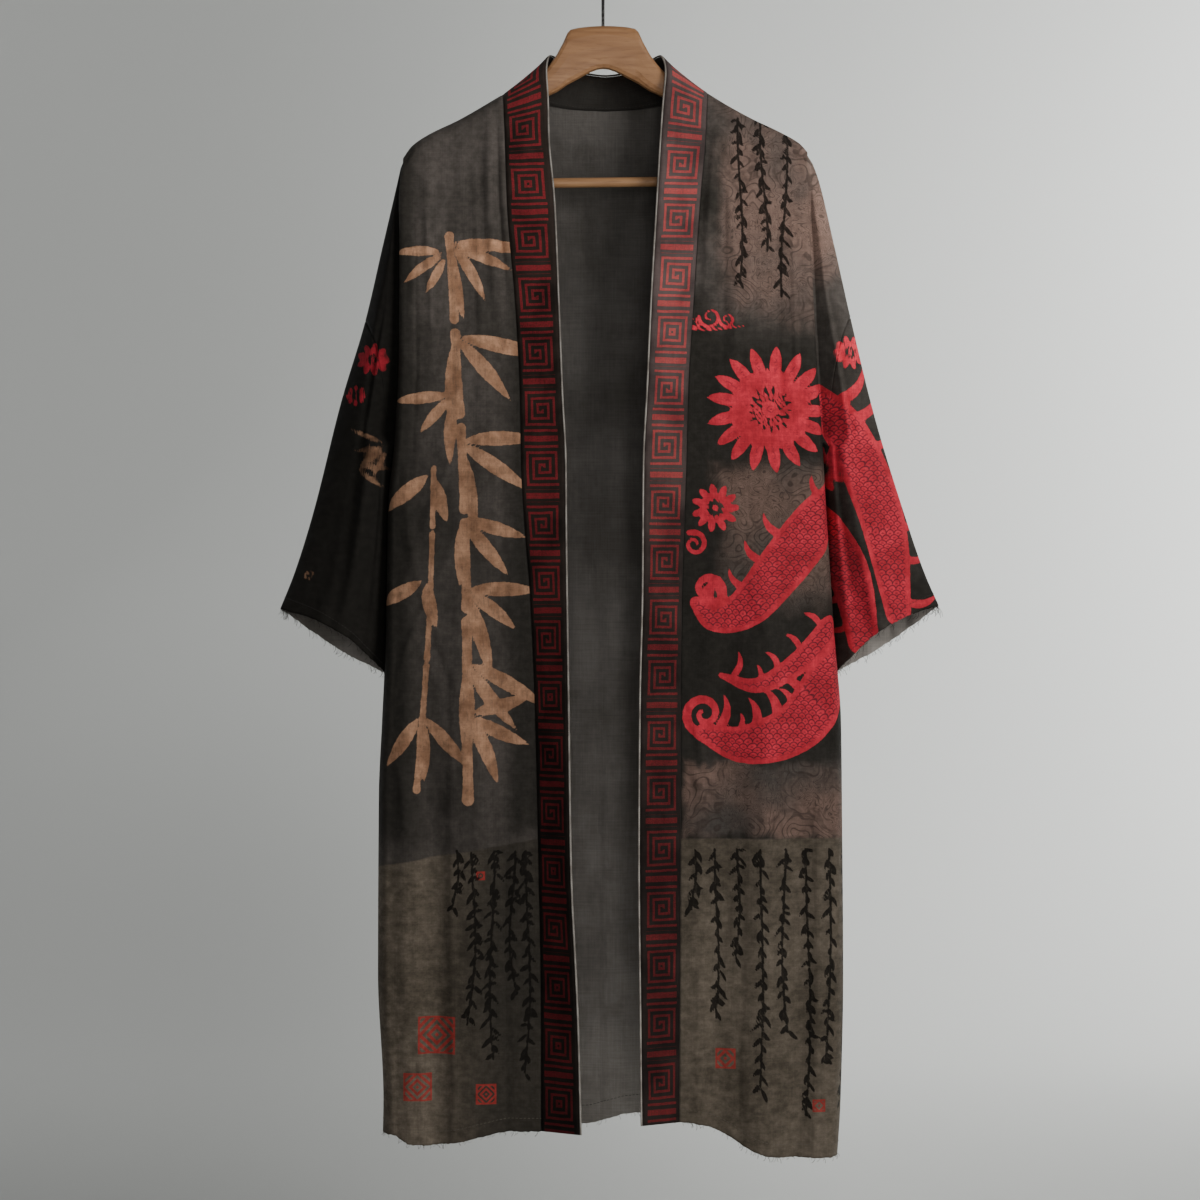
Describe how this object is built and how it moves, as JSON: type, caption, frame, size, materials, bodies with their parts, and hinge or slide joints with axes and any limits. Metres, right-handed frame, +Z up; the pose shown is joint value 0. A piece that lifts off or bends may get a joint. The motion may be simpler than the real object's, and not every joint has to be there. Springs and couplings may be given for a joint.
{
  "type": "long kimono on a hanger",
  "caption": "Long open-fronted kimono with a fretted collar band, dropped shoulders and raw-edged sleeves, hanging on a wooden hanger.",
  "frame": {"origin": "inner apex of the hanger's hook, where a rail bears", "axes": "+Z up, +X towards the wearer's left, the open front faces -Y"},
  "size_m": [0.7029, 0.1665, 1.2748],
  "materials": {
    "cloth": "matt woven cloth, printed",
    "band": "matt woven band with a fret pattern",
    "edging": "pale cloth piping",
    "wood": "satin lacquered",
    "wire": "dark satin"
  },
  "bodies": {
    "root": {"front_right": "cloth", "front_left": "cloth", "back": "cloth", "sleeve_top_right": "cloth", "sleeve_right": "cloth", "sleeve_top_left": "cloth", "sleeve_left": "cloth", "collar_band": "band", "band_edging": "edging", "hanger_body": "wood", "hanger_bar": "wood", "hook": "wire"}
  },
  "joints": []
}
